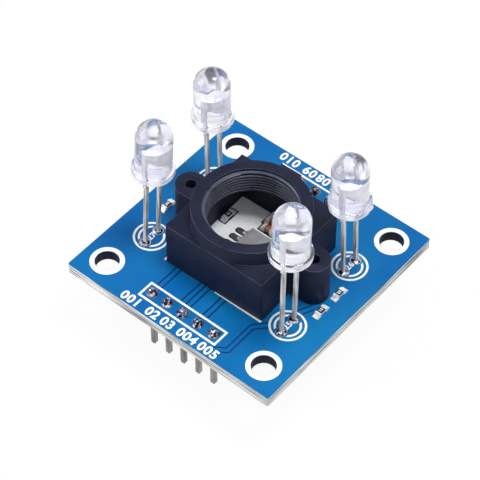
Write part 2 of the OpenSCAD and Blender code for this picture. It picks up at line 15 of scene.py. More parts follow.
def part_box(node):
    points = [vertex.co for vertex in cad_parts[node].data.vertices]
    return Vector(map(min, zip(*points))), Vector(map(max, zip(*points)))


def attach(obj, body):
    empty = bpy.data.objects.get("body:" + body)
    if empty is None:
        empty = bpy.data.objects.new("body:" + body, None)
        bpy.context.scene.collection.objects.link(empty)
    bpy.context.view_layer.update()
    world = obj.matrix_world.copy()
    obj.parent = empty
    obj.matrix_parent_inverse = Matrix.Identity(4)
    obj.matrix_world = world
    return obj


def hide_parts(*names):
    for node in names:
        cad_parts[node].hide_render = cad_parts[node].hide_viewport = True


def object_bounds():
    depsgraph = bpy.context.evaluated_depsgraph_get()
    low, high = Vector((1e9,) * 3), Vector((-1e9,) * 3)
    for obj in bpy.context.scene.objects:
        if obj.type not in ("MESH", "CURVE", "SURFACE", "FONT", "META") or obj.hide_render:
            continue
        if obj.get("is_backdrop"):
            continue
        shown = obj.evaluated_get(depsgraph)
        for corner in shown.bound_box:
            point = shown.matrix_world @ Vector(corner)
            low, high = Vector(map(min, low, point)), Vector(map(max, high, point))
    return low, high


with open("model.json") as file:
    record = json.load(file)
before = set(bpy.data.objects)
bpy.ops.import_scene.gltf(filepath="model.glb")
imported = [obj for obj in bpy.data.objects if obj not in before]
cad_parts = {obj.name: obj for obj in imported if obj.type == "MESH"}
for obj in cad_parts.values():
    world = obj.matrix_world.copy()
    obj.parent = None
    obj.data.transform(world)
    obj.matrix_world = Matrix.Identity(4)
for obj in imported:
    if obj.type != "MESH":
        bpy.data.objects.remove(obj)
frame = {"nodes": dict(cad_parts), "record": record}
cad_low, cad_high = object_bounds()
nodes = frame["nodes"]
slot_of = {row["node"]: row["material_slot"] for row in frame["record"]["subparts"]}
MM = 0.001
board_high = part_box("circuit_board")[1]
TOP = board_high.z
print("frame:", len(nodes), "nodes, board top at", round(TOP / MM, 3), "mm")

# %% [markdown]
# The view. A camera could be placed by eye, but then the render and the photograph never lie over
# each other. This one was fitted to the board's corners, its holes and its pins. It looks down at
# fifty degrees from the right of the near edge, and a long lens keeps the board's edges nearly
# parallel. Angles are in degrees, and roll is the small turn about the line of sight.

# %% Camera
VIEW_AZIMUTH = 39.77
VIEW_ELEVATION = 50.05
VIEW_ROLL = 0.15
VIEW_DISTANCE = 272.09 * MM
VIEW_TARGET = Vector((-2.2 * MM, 0.62 * MM, TOP))
FOCAL_PX = 2096.2
FRAME_PX = 480
SENSOR_WIDTH = 36
NEAREST_SEEN = 0.01


def outward(azimuth, elevation):
    """The direction from the board to a camera or a lamp."""
    a = math.radians(azimuth)
    e = math.radians(elevation)
    return Vector((math.sin(a) * math.cos(e), -math.cos(a) * math.cos(e), math.sin(e)))


def new_object(name, data):
    """An object in the scene that shows this data."""
    made = bpy.data.objects.new(name, data)
    bpy.context.collection.objects.link(made)
    return made


camera_data = bpy.data.cameras.new("camera")
camera_data.sensor_width = SENSOR_WIDTH
camera_data.lens = SENSOR_WIDTH * FOCAL_PX / FRAME_PX
camera_data.clip_start = NEAREST_SEEN
camera = new_object("camera", camera_data)
view_back = outward(VIEW_AZIMUTH, VIEW_ELEVATION)
camera.location = VIEW_TARGET + view_back * VIEW_DISTANCE
camera.rotation_mode = "QUATERNION"
level_view = (-view_back).to_track_quat("-Z", "Y")
camera.rotation_quaternion = level_view @ Quaternion((0, 0, 1), math.radians(VIEW_ROLL))
bpy.context.scene.camera = camera
bpy.context.scene.view_settings.view_transform = "Standard"
print("camera at", [round(c / MM, 1) for c in camera.location], "mm")

# %% [markdown]
# A finish is a tree of nodes. It could be drawn by hand in the Shader Editor, but short calls read
# as a list of its values. put() adds one node, sets its properties, and fills each input with a
# value or with another node's output. srgb() takes a colour in the usual 0 to 255 scale and gives
# the linear values that Blender works in.

# %% Helpers for node trees
def srgb(red, green, blue):
    """A screen colour as linear red, green, blue and alpha."""
    linear = [((c / 255 + 0.055) / 1.055) ** 2.4 if c > 10 else c / 255 / 12.92
              for c in (red, green, blue)]
    return (*linear, 1.0)


def put(tree, kind, inputs=None, **settings):
    """Adds a node. Inputs are numbers, colours or outputs of other nodes."""
    node = tree.nodes.new(kind)
    for name, value in settings.items():
        setattr(node, name, value)
    for key, value in (inputs or {}).items():
        if isinstance(value, bpy.types.NodeSocket):
            tree.links.new(value, node.inputs[key])
        else:
            node.inputs[key].default_value = value
    return node


def new_group(name, kind, sockets):
    """A node group with its sockets, given as (name, in or out, type, default if it has one)."""
    group = bpy.data.node_groups.new(name, kind)
    for label, way, socket_type, *default in sockets:
        socket = group.interface.new_socket(label, in_out=way,
                                            socket_type="NodeSocket" + socket_type)
        if default:
            socket.default_value = default[0]
    return group, group.nodes.new("NodeGroupInput"), group.nodes.new("NodeGroupOutput")


print("middle grey in linear light:", round(srgb(128, 128, 128)[0], 3))

# %% [markdown]
# No real surface has one flat colour. A picture could bring the variation, but a noise computed
# from the piece's own coordinates has no seams. Almost every finish needs it, so it is one node
# group. Mottle blends two colours by a soft noise, and also puts out the noise itself, for
# roughness. Stretch draws the noise out along an axis, as on a drawn wire.

# %% Mottle
MOTTLE_DETAIL = 3.0


def stretched_noise(group, start, detail):
    """A noise in the piece's own coordinates, drawn out along the axes."""
    place = put(group, "ShaderNodeTexCoord")
    stretch = put(group, "ShaderNodeVectorMath",
                  {0: place.outputs["Object"], 1: start.outputs["Stretch"]}, operation="MULTIPLY")
    noise = put(group, "ShaderNodeTexNoise", {"Vector": stretch.outputs[0],
                                              "Scale": start.outputs["Scale"], "Detail": detail})
    return noise.outputs["Fac"]


def make_mottle():
    group, start, end = new_group("mottle", "ShaderNodeTree", [
        ("Color A", "INPUT", "Color"), ("Color B", "INPUT", "Color"),
        ("Scale", "INPUT", "Float", 400.0), ("Low", "INPUT", "Float", 0.3),
        ("High", "INPUT", "Float", 0.7), ("Stretch", "INPUT", "Vector", (1, 1, 1)),
        ("Color", "OUTPUT", "Color"), ("Value", "OUTPUT", "Float"),
    ])
    value = put(group, "ShaderNodeMapRange",
                {"Value": stretched_noise(group, start, MOTTLE_DETAIL),
                 "From Min": start.outputs["Low"], "From Max": start.outputs["High"]})
    mix = put(group, "ShaderNodeMix",
              {"Factor": value.outputs["Result"], "A": start.outputs["Color A"],
               "B": start.outputs["Color B"]}, data_type="RGBA")
    group.links.new(mix.outputs["Result"], end.inputs["Color"])
    group.links.new(value.outputs["Result"], end.inputs["Value"])
    return group


def mottled(tree, dark, light, scale, low=0.3, high=0.7, stretch=(1, 1, 1)):
    """A Mottle group in this tree, with its own values."""
    return put(tree, "ShaderNodeGroup",
               {"Color A": dark, "Color B": light, "Scale": scale, "Low": low, "High": high,
                "Stretch": stretch}, node_tree=MOTTLE)


MOTTLE = make_mottle()
print("group:", MOTTLE.name, "with", len(MOTTLE.nodes), "nodes")

# %% [markdown]
# Under a lamp even a smooth moulding shows a fine grain. Real faces for it would be millions, so a
# second group, Grain, puts out a finer noise as a height. A Bump node in each material turns the
# height into tilted normals. Its depth is given in metres, so it stays true to the piece's size.

# %% Grain
GRAIN_DETAIL = 2.0


def make_grain():
    group, start, end = new_group("grain", "ShaderNodeTree", [
        ("Scale", "INPUT", "Float", 6000.0), ("Stretch", "INPUT", "Vector", (1, 1, 1)),
        ("Height", "OUTPUT", "Float"),
    ])
    group.links.new(stretched_noise(group, start, GRAIN_DETAIL), end.inputs["Height"])
    return group


def grained(tree, shader, scale, depth, stretch=(1, 1, 1)):
    """Wires a Grain group through a Bump node into the shader."""
    grain = put(tree, "ShaderNodeGroup", {"Scale": scale, "Stretch": stretch}, node_tree=GRAIN)
    bump = put(tree, "ShaderNodeBump",
               {"Strength": 1.0, "Distance": depth, "Height": grain.outputs["Height"]})
    tree.links.new(bump.outputs["Normal"], shader.inputs["Normal"])


GRAIN = make_grain()
print("group:", GRAIN.name, "with", len(GRAIN.nodes), "nodes")

# %% [markdown]
# A finish of this module is a Principled material with Mottle in its base colour and Grain in its
# normal. Each could have a function of its own, but most differ only in colours, scales and
# roughness, so coat() makes them all from such values.

# %% Helpers for finishes
MICRON = 0.001 * MM


def material(name, inputs, build):
    """A Principled material. build(tree, shader) wires what varies over the surface."""
    made = bpy.data.materials.new(name)
    made.use_nodes = True
    shader = made.node_tree.nodes["Principled BSDF"]
    for key, value in inputs.items():
        shader.inputs[key].default_value = value
    build(made.node_tree, shader)
    return made


def vary_roughness(tree, shader, value, at_dark, at_light):
    """Spreads a 0 to 1 value over the roughness."""
    spread = put(tree, "ShaderNodeMapRange",
                 {"Value": value, "To Min": at_dark, "To Max": at_light})
    tree.links.new(spread.outputs["Result"], shader.inputs["Roughness"])


def coat(name, dark, light, scale, grain, inputs, roughness=None, **pattern):
    """A finish that goes from dark to light. grain holds a scale, a depth and maybe a stretch, and
    roughness its values at the dark and at the light tone."""
    def build(tree, shader):
        tone = mottled(tree, dark, light, scale, **pattern)
        tree.links.new(tone.outputs["Color"], shader.inputs["Base Color"])
        if roughness:
            vary_roughness(tree, shader, tone.outputs["Value"], *roughness)
        grained(tree, shader, *grain)
    return material(name, inputs, build)


print("one micron is", MICRON, "m")

# %% [markdown]
# The studio. The module lies on plain white in soft light. A white room round it would give grey
# corners, so the world itself is white for the camera and for rays that mirror or pass through,
# and dimmer for what lights the matt surfaces. One soft lamp stands almost overhead and reaches
# down into the lens holder. Weaker ones stand low on the left and on the right.

# %% Surround and lamps
AMBIENT = 0.5
LAMP_DISTANCE = 0.3
LAMPS = {  # azimuth and elevation in degrees, side in metres, power in watts
    "key": (125, 77, 0.09, 0.52),
    "fill_left": (-45, 25, 0.2, 0.42),
    "fill_right": (70, 40, 0.2, 0.15),
}


def plainly_seen(tree):
    """1 for rays from the camera and for rays that mirror or pass through, 0 for all others."""
    rays = put(tree, "ShaderNodeLightPath").outputs
    seen = rays["Is Camera Ray"]
    for kind in ("Is Glossy Ray", "Is Transmission Ray"):
        seen = put(tree, "ShaderNodeMath", {0: seen, 1: rays[kind]}, operation="MAXIMUM").outputs[0]
    return seen


world = bpy.data.worlds.new("studio")
bpy.context.scene.world = world
world.use_nodes = True
background = world.node_tree.nodes["Background"]
background.inputs["Color"].default_value = (1, 1, 1, 1)
level = put(world.node_tree, "ShaderNodeMapRange",
            {"Value": plainly_seen(world.node_tree), "To Min": AMBIENT, "To Max": 1.0})
world.node_tree.links.new(level.outputs["Result"], background.inputs["Strength"])

for name, (azimuth, elevation, side, power) in LAMPS.items():
    lamp_data = bpy.data.lights.new(name, "AREA")
    lamp_data.size = side
    lamp_data.energy = power
    lamp = new_object(name, lamp_data)
    out = outward(azimuth, elevation)
    lamp.location = out * LAMP_DISTANCE
    lamp.rotation_euler = (-out).to_track_quat("-Z", "Y").to_euler()
    lamp.visible_camera = False
print("studio:", len(LAMPS), "lamps")

# %% [markdown]
# The floor catches the soft shadow that seats the module. Full shading would turn it grey against
# the white surround. So its finish is mostly plain white, mixed with a small share of true shading
# that is just enough to hold the shadow.

# %% Floor
FLOOR_SIDE = 3.0
WHITE_SHARE = 0.94


def floor_finish(tree, shader):
    share = put(tree, "ShaderNodeMath", {0: plainly_seen(tree), 1: WHITE_SHARE},
                operation="MULTIPLY")
    white = put(tree, "ShaderNodeEmission", {"Color": (1, 1, 1, 1), "Strength": 1.0})
    mix = put(tree, "ShaderNodeMixShader",
              {0: share.outputs[0], 1: shader.outputs[0], 2: white.outputs[0]})
    tree.links.new(mix.outputs[0], tree.nodes["Material Output"].inputs["Surface"])


bpy.ops.mesh.primitive_plane_add(size=FLOOR_SIDE, location=(0, 0, cad_low.z))
floor = bpy.context.object
floor.name = "floor"
floor.data.materials.append(
    material("pale_floor", {"Base Color": (0.9, 0.9, 0.9, 1), "Roughness": 0.9}, floor_finish))
floor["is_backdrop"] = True
print("floor at", round(cad_low.z / MM, 2), "mm, under the pins' ends")

# %% [markdown]
# The board's finishes. Lacquer is a thin blue coat over glass cloth, so it has a faint cloud of
# lighter and darker blue. Inside the lens holder it lies in shade, and that shade is painted: a
# second material could serve there, but the board's top is one face, so the lacquer itself is
# painted near black within a radius of the lens axis. The cut edges show pale fibre in layers,
# and the drilled walls are painted dark, as painted shade.

# %% Finishes of the board
WELL_SHADE_RADIUS = 6.9 * MM
WELL_SHADE_BLUR = 0.4 * MM
TOP_ONLY = 10  # stretches heights, so that only the board's top lies within the well's radius
lens_mount = next(row for row in frame["record"]["mounts"] if row["name"] == "lens_thread")
lens_x, lens_y = lens_mount["pos_m"][:2]


def lacquer_finish(tree, shader):
    cloud = mottled(tree, srgb(4, 94, 164), srgb(12, 112, 170), 90)
    place = put(tree, "ShaderNodeTexCoord")
    tall = put(tree, "ShaderNodeVectorMath",
               {0: place.outputs["Object"], 1: (1, 1, TOP_ONLY)}, operation="MULTIPLY")
    away = put(tree, "ShaderNodeVectorMath",
               {0: tall.outputs[0], 1: (lens_x, lens_y, TOP * TOP_ONLY)}, operation="DISTANCE")
    # Painted shade: within the radius the lacquer mixes toward near black, the holder's shade.
    inside = put(tree, "ShaderNodeMapRange",
                 {"Value": away.outputs["Value"], "From Min": WELL_SHADE_RADIUS + WELL_SHADE_BLUR,
                  "From Max": WELL_SHADE_RADIUS})
    mix = put(tree, "ShaderNodeMix",
              {"Factor": inside.outputs["Result"], "A": cloud.outputs["Color"],
               "B": srgb(14, 36, 52)}, data_type="RGBA")
    tree.links.new(mix.outputs["Result"], shader.inputs["Base Color"])
    vary_roughness(tree, shader, cloud.outputs["Value"], 0.3, 0.4)
    grained(tree, shader, 2500, 4 * MICRON)


LACQUER = material("blue_lacquer", {"Specular IOR Level": 0.12}, lacquer_finish)
FIBRE = coat("cut_fibre", srgb(62, 68, 72), srgb(222, 224, 220), 1000,
             (3000, 30 * MICRON, (0.3, 0.3, 3.0)), {"Roughness": 0.75},
             low=0.36, high=0.58, stretch=(0.12, 0.12, 4.0))
# Painted shade: the mounting holes' walls are painted dark navy for the shade inside them.
SHADED_HOLE_WALL = coat("drilled_wall_painted_shade", srgb(8, 12, 28), srgb(26, 32, 54), 1500, (4000, 20 * MICRON),
                 {"Roughness": 0.6, "Specular IOR Level": 0.12}, stretch=(1, 1, 0.3))
INK = coat("white_ink", srgb(232, 236, 240), srgb(252, 252, 252), 1800, (5000, 4 * MICRON),
           {"Roughness": 0.55})
GAP = coat("gap_under_lacquer", srgb(2, 40, 104), srgb(6, 54, 128), 900, (2500, 4 * MICRON),
           {"Roughness": 0.35, "Specular IOR Level": 0.12})
print("board finishes; the lens axis is at", [round(c / MM, 2) for c in (lens_x, lens_y)], "mm")

# %% [markdown]
# The plastics and ceramics scatter light in their body, so they are Principled materials without
# metal. The lens holder is a satin black with a blue cast. Its edges and its thread are painted
# lighter than its black, as painted highlights, so they have finishes of their own; the thread
# also reflects more. Shine is the strength of the reflection.

# %% Finishes of the plastics and ceramics
CLOUD_SCALE = 500
ROUGH_SPREAD = 0.05


def plastic(name, dark, light, rough, grain_scale, grain_microns, shine=0.5):
    return coat(name, dark, light, CLOUD_SCALE, (grain_scale, grain_microns * MICRON),
                {"Specular IOR Level": shine},
                roughness=(rough - ROUGH_SPREAD, rough + ROUGH_SPREAD))


HOLDER = plastic("holder_black", srgb(18, 23, 44), srgb(27, 32, 53), 0.5, 9000, 6, shine=0.14)
# Painted highlight: the thread is painted lighter than the holder; its stronger shine is its own.
THREAD_HIGHLIGHT = plastic("holder_thread_highlight", srgb(40, 46, 66), srgb(62, 68, 90), 0.3, 9000, 3, shine=0.65)
# Painted highlight: the holder's rounded edges are painted a lighter grey-blue.
HOLDER_EDGE_HIGHLIGHT = plastic("holder_edge_highlight", srgb(78, 82, 104), srgb(124, 128, 146), 0.35, 9000, 6)
STRIP = plastic("strip_black", srgb(24, 24, 27), srgb(32, 32, 36), 0.45, 7000, 6)
GLAZE = plastic("resistor_glaze", srgb(10, 10, 22), srgb(26, 26, 42), 0.4, 6000, 4, shine=0.12)
ALUMINA = plastic("resistor_alumina", srgb(222, 224, 228), srgb(246, 246, 246), 0.5, 7000, 4)
CERAMIC = plastic("capacitor_ceramic", srgb(132, 86, 54), srgb(172, 120, 82), 0.5, 6000, 6)
DIE = plastic("sensor_silicon", srgb(16, 14, 22), srgb(44, 40, 62), 0.2, 8000, 2)
PHOSPHOR = plastic("led_chip_coat", srgb(232, 226, 190), srgb(244, 240, 214), 0.5, 8000, 2)
print("materials so far:", len(bpy.data.materials))

# %% [markdown]
# The metals differ in how bright and how smooth they are. Solder has strong dark navy and white
# patches painted into its colour, a painted reflection of dark and bright surroundings, and a deep
# grain. Pins and legs are drawn wire, so their noise is stretched along their length. A share
# under 1 mixes in a plain body of the same colour, which is how thin bright tin looks in soft
# light.

# %% Finishes of the metals
ALONG_Z = (1, 1, 0.08)
DULLER_AT_DARK = 0.08
SMOOTHER_AT_LIGHT = 0.05


def metal(name, dark, light, rough, scale=1200, stretch=(1, 1, 1), grain_microns=6, share=1.0,
          **contrast):
    return coat(name, dark, light, scale, (2 * scale, grain_microns * MICRON, stretch),
                {"Metallic": share}, stretch=stretch,
                roughness=(rough + DULLER_AT_DARK, rough - SMOOTHER_AT_LIGHT), **contrast)


TIN = metal("tinned_land", srgb(120, 124, 136), srgb(220, 222, 226), 0.3)
# Painted reflection: the pin rows' lands are painted dark navy with light patches.
ROW_TIN_REFLECTION = metal("row_land_painted_reflection", srgb(28, 38, 78), srgb(150, 160, 186), 0.3, 2000)
# Painted reflection: the solder's dark navy and white patches.
SOLDER_WITH_REFLECTION = metal("solder", srgb(16, 24, 58), srgb(240, 243, 248), 0.2, 2600, grain_microns=60,
               low=0.44, high=0.66)
PIN = metal("pin_tin", srgb(84, 82, 82), srgb(160, 156, 152), 0.28, 2200, ALONG_Z)
LEG = metal("leg_tin", srgb(120, 118, 116), srgb(250, 248, 242), 0.4, 3400, ALONG_Z, share=0.3)
# Painted light: the silvered frame inside the epoxy is painted brighter than the legs outside.
FRAME_METAL_LIT = metal("led_frame_silver_lit", srgb(236, 237, 242), srgb(254, 254, 255), 0.5, 1500,
                    share=0.2)
SCREW = metal("screw_steel", srgb(150, 152, 158), srgb(190, 192, 198), 0.3)
CHIP_END = metal("chip_end_tin", srgb(188, 192, 204), srgb(255, 255, 255), 0.35, 2600, share=0.3,
                 low=0.34, high=0.5)
print("materials so far:", len(bpy.data.materials))

# %% [markdown]
# Two parts are clear. The LED bodies are water-clear epoxy: light passes and bends by its
# refraction index, and a slow, shallow bump stands for the waves of the casting. Faint lavender
# patches in the epoxy's clear colour are a painted reflection. The sensor's body is milky, so half
# of it is transmission and half a pale body colour.

# %% Finishes of the clear plastics
def clear(name, dark, light, scale, passes, rough):
    return coat(name, dark, light, scale, (500, 12 * MICRON),
                {"Transmission Weight": passes, "IOR": 1.5, "Roughness": rough},
                low=0.42, high=0.6)


# Painted reflection: faint lavender patches in the epoxy's clear colour.
EPOXY = clear("clear_epoxy_reflection_tint", srgb(232, 233, 253), srgb(255, 255, 255), 640, 0.95, 0.035)
SENSOR_CLEAR = clear("sensor_clear", srgb(186, 186, 190), srgb(220, 220, 222), 200, 0.5, 0.25)
print("finishes:", len(bpy.data.materials))

# %% [markdown]
# Moulded and sawn edges are never knife sharp. The CAD could round them, but many small roundings
# make its solids heavy, so they are rounded here. A CAD node is a mesh of loose triangles: a copy
# is merged, its flat faces are joined again, and a Bevel modifier rounds every sharp edge. The
# result is turned into a plain mesh, which stands for its node.

# %% Helpers for pieces
MERGE_WITHIN = 0.0002 * MM
FLAT_WITHIN = math.radians(0.5)
ROUND_OVER = math.radians(30)
CREASE_OVER = math.radians(35)


def finish_piece(piece, slot, *replaced):
    """The piece rides on the module's one body and takes the place of its nodes."""
    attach(piece, "root")
    if replaced:
        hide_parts(*replaced)


def as_mesh(thing):
    """Turns an object with its modifiers into a plain mesh object of the same name."""
    graph = bpy.context.evaluated_depsgraph_get()
    mesh = bpy.data.meshes.new_from_object(thing.evaluated_get(graph), depsgraph=graph)
    mesh.transform(thing.matrix_world)
    name = thing.name
    bpy.data.objects.remove(thing)
    return new_object(name, mesh)


def mesh_from(name, shape):
    """A mesh object made from a bmesh, which is freed."""
    mesh = bpy.data.meshes.new(name)
    shape.to_mesh(mesh)
    shape.free()
    return new_object(name, mesh)


def smooth_by_angle(thing):
    """Round walls shade smooth, and edges sharper than the crease angle stay crisp."""
    shape = bmesh.new()
    shape.from_mesh(thing.data)
    for face in shape.faces:
        face.smooth = True
    for edge in shape.edges:
        edge.smooth = edge.calc_face_angle(0) < CREASE_OVER
    shape.to_mesh(thing.data)
    shape.free()


def rounded_copy(node, name, finish, width, segments=2, edge_finish=None):
    """A merged copy of a node with rounded edges, which may have a finish of their own."""
    shape = bmesh.new()
    shape.from_mesh(nodes[node].data)
    bmesh.ops.remove_doubles(shape, verts=shape.verts, dist=MERGE_WITHIN)
    bmesh.ops.dissolve_limit(shape, angle_limit=FLAT_WITHIN, verts=shape.verts, edges=shape.edges)
    copy = mesh_from(name, shape)
    copy.data.materials.append(finish)
    if edge_finish:
        copy.data.materials.append(edge_finish)
    bevel = copy.modifiers.new("round", "BEVEL")
    bevel.width = width
    bevel.segments = segments
    bevel.limit_method = "ANGLE"
    bevel.angle_limit = ROUND_OVER
    bevel.material = 1 if edge_finish else -1
    made = as_mesh(copy)
    smooth_by_angle(made)
    return made


print("edges over", round(math.degrees(ROUND_OVER)), "degrees are rounded")

# %% [markdown]
# The board is sawn from a sheet, drilled, plated and lacquered. Separate meshes for its faces
# would leave seams, so one mesh gets four finishes by where a face lies: lacquer on the two broad
# faces, bare fibre on the sawn edges, a wall painted dark as painted shade in the four mounting
# holes, and tin in the plated ones.

# %% Circuit board
BOARD_SOFT = 0.04 * MM
SAWN_WITHIN = 0.5 * MM  # a face this near the board's side is a sawn one
CORNER_BEYOND = 10.5 * MM  # the mounting holes lie farther out than this along both axes
BROAD = 0.5  # a face whose normal rises more than this is one of the two broad ones
SAWN, DRILLED, PLATED = 1, 2, 3
board = rounded_copy("circuit_board", "board", LACQUER, BOARD_SOFT, segments=1)
for finish in (FIBRE, SHADED_HOLE_WALL, TIN):
    board.data.materials.append(finish)
for face in board.data.polygons:
    if abs(face.normal.z) > BROAD:
        continue
    nearer, farther = sorted((abs(face.center.x), abs(face.center.y)))
    if farther > board_high.x - SAWN_WITHIN:
        face.material_index = SAWN
    else:
        face.material_index = DRILLED if nearer > CORNER_BEYOND else PLATED
finish_piece(board, "board", "circuit_board")
print("board:", len(board.data.polygons), "faces")

# %% [markdown]
# Copper tracks run from the near header to the sensor. They lie under the lacquer and show only as
# the darker gaps on their two sides, where there is no copper. A pattern in the lacquer would blur
# at this size, so each track is a drawn line, and Geometry Nodes sweep two thin flat ribs along
# it, one on each side. Where two tracks lie side by side they share a gap, so their ribs there are
# equal, and a weld makes them one.

# %% Geometry Nodes for the tracks
def end_tree(tree, shape, start, end):
    """The last nodes of each tree: instances are made real and take the finish."""
    plain = put(tree, "GeometryNodeRealizeInstances", {"Geometry": shape})
    painted = put(tree, "GeometryNodeSetMaterial",
                  {"Geometry": plain.outputs[0], "Material": start.outputs["Finish"]})
    tree.links.new(painted.outputs[0], end.inputs[0])


def track_tree():
    """Two flat ribs swept along each line, as far apart as the track is wide."""
    tree, start, end = new_group("track_gaps", "GeometryNodeTree", [
        ("Geometry", "INPUT", "Geometry"), ("Track", "INPUT", "Float"), ("Gap", "INPUT", "Float"),
        ("Height", "INPUT", "Float"), ("Weld", "INPUT", "Float"), ("Finish", "INPUT", "Material"),
        ("Geometry", "OUTPUT", "Geometry"),
    ])
    rib = put(tree, "GeometryNodeCurvePrimitiveQuadrilateral",
              {"Width": start.outputs["Gap"], "Height": start.outputs["Height"]})
    both = put(tree, "GeometryNodeJoinGeometry")
    for side in (0.5, -0.5):
        offset = put(tree, "ShaderNodeMath", {0: start.outputs["Track"], 1: side},
                     operation="MULTIPLY")
        shift = put(tree, "ShaderNodeCombineXYZ", {"X": offset.outputs[0]})
        moved = put(tree, "GeometryNodeTransform",
                    {"Geometry": rib.outputs[0], "Translation": shift.outputs[0]})
        tree.links.new(moved.outputs[0], both.inputs[0])
    upright = put(tree, "GeometryNodeSetCurveNormal", {"Curve": start.outputs["Geometry"]},
                  mode="Z_UP")
    swept = put(tree, "GeometryNodeCurveToMesh",
                {"Curve": upright.outputs[0], "Profile Curve": both.outputs[0], "Fill Caps": True})
    welded = put(tree, "GeometryNodeMergeByDistance",
                 {"Geometry": swept.outputs[0], "Distance": start.outputs["Weld"]})
    end_tree(tree, welded.outputs[0], start, end)
    return tree


def run_tree(thing, tree, values):
    """Gives an object a Geometry Nodes modifier with these named inputs and makes it plain."""
    sockets = {item.name: item.identifier for item in tree.interface.items_tree
               if item.item_type == "SOCKET" and item.in_out == "INPUT"}
    modifier = thing.modifiers.new(tree.name, "NODES")
    modifier.node_group = tree
    for name, value in values.items():
        modifier[sockets[name]] = value
    return as_mesh(thing)


TRACK_TREE = track_tree()
print("tree:", TRACK_TREE.name, "with", len(TRACK_TREE.nodes), "nodes")

# %% [markdown]
# The lines themselves. Four tracks run straight from the near header to the holder, one goes round
# the header's right end to the front LED, and a short one runs from that LED toward the right ear.
# They could follow a drawn curve, but tracks have straight stretches and sharp corners, so each is
# a list of corners in millimetres.

# %% Tracks under the lacquer
HEADER_Y = -11.9
UNDER_HOLDER_Y = -7.9
STRAIGHT_X = [-5.12, -1.07, -0.29, 2.48]
ROUTES = [[(x, HEADER_Y), (x, UNDER_HOLDER_Y)] for x in STRAIGHT_X]
ROUTES.append([(6.6, -15.15), (8.1, -14.1), (8.1, -9.35), (9.3, -8.0), (9.9, -7.6)])
ROUTES.append([(11.2, -3.8), (12.1, -1.9)])
lines = bpy.data.curves.new("track_gaps", "CURVE")
lines.dimensions = "3D"
for route in ROUTES:
    line = lines.splines.new("POLY")
    line.points.add(len(route) - 1)
    for point, (x, y) in zip(line.points, route):
        point.co = (x * MM, y * MM, TOP, 1)
tracks = run_tree(new_object("track_gaps", lines), TRACK_TREE,
                  {"Track": 0.78 * MM, "Gap": 0.22 * MM, "Height": 0.012 * MM,
                   "Weld": 0.001 * MM, "Finish": GAP})
finish_piece(tracks, "board")
print("tracks:", len(ROUTES), "routes,", len(tracks.data.polygons), "faces")

# %% [markdown]
# The printed labels are plain numbers. Ink could be a pattern in the lacquer, but raised figures
# stay sharp from near by. Each is a text object in Blender's own font, with a bevel that makes its
# strokes bolder. It is turned to a mesh, and a scale along Z presses it to the ink's thickness.

# %% Helpers for numbers
INK_THICKNESS = 0.03 * MM
FIGURE_SHARE = 0.7  # a figure's height, as a share of the font's size
BOLD_SHARE = 0.05  # how far the strokes grow, as a share of the figure's height
WALL_SHARE = 0.01  # the straight part of a stroke's side, as a share of the figure's height
LETTER_SPACING = 1.12


def number(text, x, y, height, turn):
    """One printed number as a mesh on the board's top, turned by so many degrees."""
    letter = bpy.data.curves.new("number_" + text, "FONT")
    letter.body = text
    letter.size = height / FIGURE_SHARE
    letter.align_x = "CENTER"
    letter.align_y = "CENTER"
    letter.extrude = WALL_SHARE * height
    letter.bevel_depth = BOLD_SHARE * height
    letter.bevel_resolution = 1
    letter.space_character = LETTER_SPACING
    made = new_object("number_" + text, letter)
    made.location = (x, y, TOP + INK_THICKNESS / 2)
    made.rotation_euler = (0, 0, math.radians(turn))
    made.scale.z = INK_THICKNESS / (2 * (letter.extrude + letter.bevel_depth))
    bpy.context.view_layer.update()
    return as_mesh(made)


print("numbers stand", round(INK_THICKNESS / MM, 3), "mm high on the board")

# %% [markdown]
# The near row's labels read from the near side, and the far row's from the far side, so those are
# turned half round. A small number stands between the legs of each LED. All of them are one
# print, so they are joined into one piece.

# %% Printed numbers
LABEL_Y = 15.75 * MM
LABEL_HEIGHT = 1.3 * MM
LED_LABEL_HEIGHT = 0.8 * MM
FIRST_LED_LABEL = 25
NEAR_LABELS = {"001": -6.55, "02": -2.95, "03": -0.45, "004": 2.8, "005": 6.25}
FAR_LABELS = {"006": 6.25, "007": 2.8, "08": -0.35, "09": -2.6, "010": -6.0}
LED_X = 11.4 * MM
LED_Y = 6.3 * MM
LED_SIDES = {"front": (1, -1), "right": (1, 1), "left": (-1, -1), "back": (-1, 1)}
labels = [number(text, x * MM, -LABEL_Y, LABEL_HEIGHT, 0) for text, x in NEAR_LABELS.items()]
labels += [number(text, x * MM, LABEL_Y, LABEL_HEIGHT, 180) for text, x in FAR_LABELS.items()]
labels += [number(str(count), side_x * LED_X, side_y * LED_Y, LED_LABEL_HEIGHT, 90)
           for count, (side_x, side_y) in enumerate(LED_SIDES.values(), FIRST_LED_LABEL)]
print_shape = bmesh.new()
for label in labels:
    print_shape.from_mesh(label.data)
    bpy.data.objects.remove(label)
numbers = mesh_from("printed_numbers", print_shape)
numbers.data.materials.append(INK)
finish_piece(numbers, "print")
print("numbers:", len(labels))

# %% [markdown]
# The lens holder is one moulding. Its form is the CAD's own, so only its edges are rounded, as a
# mould leaves them. The narrow bevel has a lighter finish, a painted highlight that shows as a
# thin bright line. The cone between the plain mouth and the thread takes the thread's finish,
# whose lighter colour is a painted highlight and whose stronger reflection is the material's own.

